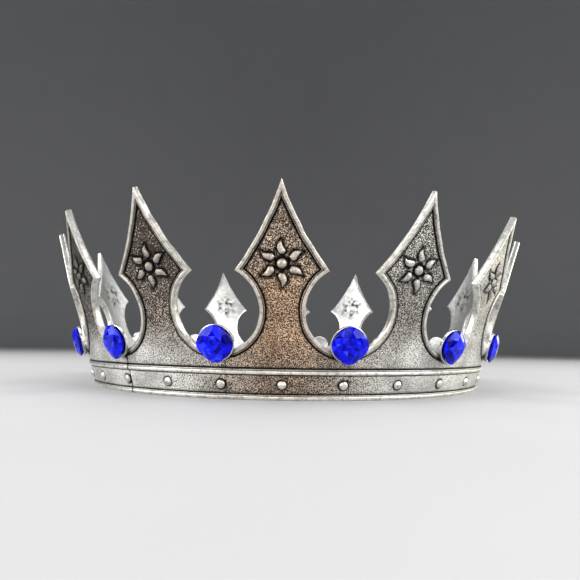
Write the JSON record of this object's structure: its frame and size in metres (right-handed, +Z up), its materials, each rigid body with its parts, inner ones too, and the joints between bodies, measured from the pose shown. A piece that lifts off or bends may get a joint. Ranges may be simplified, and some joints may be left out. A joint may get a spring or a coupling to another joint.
{
  "type": "crown",
  "caption": "Tall open crown of cast spire panels in antique silver, each embossed with a small flower, with round blue stones in cups over the joints.",
  "frame": {"origin": "middle of the foot ring, on the plane that the crown stands on", "axes": "+Z up along the ring's axis; panel 01 and the wearer's face are towards -Y; +X is to the right of someone who looks at panel 01"},
  "size_m": [0.218, 0.2236, 0.0699],
  "materials": {
    "antique_silver": "cast zinc alloy with antique silver plate, sand-textured field, worn bright rims and black patina in the recesses",
    "cup_silver": "satin silver plate",
    "rivet_silver": "worn silver plate",
    "blue_glass": "faceted royal blue glass with a foiled back"
  },
  "bodies": {
    "root": {"spire_panel_01": "antique_silver", "spire_panel_02": "antique_silver", "spire_panel_03": "antique_silver", "spire_panel_04": "antique_silver", "spire_panel_05": "antique_silver", "spire_panel_06": "antique_silver", "spire_panel_07": "antique_silver", "spire_panel_08": "antique_silver", "spire_panel_09": "antique_silver", "spire_panel_10": "antique_silver", "spire_panel_11": "antique_silver", "spire_panel_12": "antique_silver", "spire_panel_13": "antique_silver", "spire_panel_14": "antique_silver", "stone_cup_01": "cup_silver", "stone_cup_02": "cup_silver", "stone_cup_03": "cup_silver", "stone_cup_04": "cup_silver", "stone_cup_05": "cup_silver", "stone_cup_06": "cup_silver", "stone_cup_07": "cup_silver", "stone_cup_08": "cup_silver", "stone_cup_09": "cup_silver", "stone_cup_10": "cup_silver", "stone_cup_11": "cup_silver", "stone_cup_12": "cup_silver", "stone_cup_13": "cup_silver", "stone_cup_14": "cup_silver", "stone_01": "blue_glass", "stone_02": "blue_glass", "stone_03": "blue_glass", "stone_04": "blue_glass", "stone_05": "blue_glass", "stone_06": "blue_glass", "stone_07": "blue_glass", "stone_08": "blue_glass", "stone_09": "blue_glass", "stone_10": "blue_glass", "stone_11": "blue_glass", "stone_12": "blue_glass", "stone_13": "blue_glass", "stone_14": "blue_glass", "joint_rivets": "rivet_silver"}
  },
  "joints": []
}
